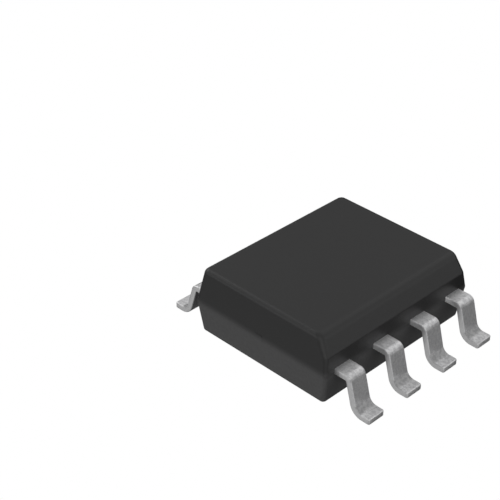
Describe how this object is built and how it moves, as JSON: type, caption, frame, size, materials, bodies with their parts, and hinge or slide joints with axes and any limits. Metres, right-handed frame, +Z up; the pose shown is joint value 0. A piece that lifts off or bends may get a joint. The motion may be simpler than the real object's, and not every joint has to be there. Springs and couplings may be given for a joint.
{
  "type": "voltage reference chip",
  "caption": "Surface-mount voltage reference: a dark moulded body with one bevelled long edge, gull-wing leads on both long sides, and a wire-bonded die inside.",
  "frame": {"origin": "middle of the footprint, on the plane that the feet stand on", "axes": "+X across the rows towards leads 1 to 4 and the bevel, +Y along the rows from lead 1 to lead 4, +Z up from the board"},
  "size_m": [0.006, 0.005, 0.0017],
  "materials": {
    "mould_compound": "matte, fine moulded grain",
    "tin_plate": "matte tin plating over copper alloy",
    "frame_copper": "bare rolled copper alloy",
    "die_adhesive": "silver-filled adhesive",
    "silicon": "polished, opaque",
    "gold_wire": "bright drawn wire"
  },
  "bodies": {
    "root": {"body": "mould_compound", "die_pad": "frame_copper", "die_attach": "die_adhesive", "die": "silicon", "lead_1": "tin_plate", "lead_2": "tin_plate", "lead_3": "tin_plate", "lead_4": "tin_plate", "lead_5": "tin_plate", "lead_6": "tin_plate", "lead_7": "tin_plate", "lead_8": "tin_plate", "bond_wire_1": "gold_wire", "bond_wire_2": "gold_wire", "bond_wire_3": "gold_wire", "bond_wire_4": "gold_wire", "bond_wire_5": "gold_wire", "bond_wire_6": "gold_wire", "bond_wire_8": "gold_wire"}
  },
  "joints": []
}
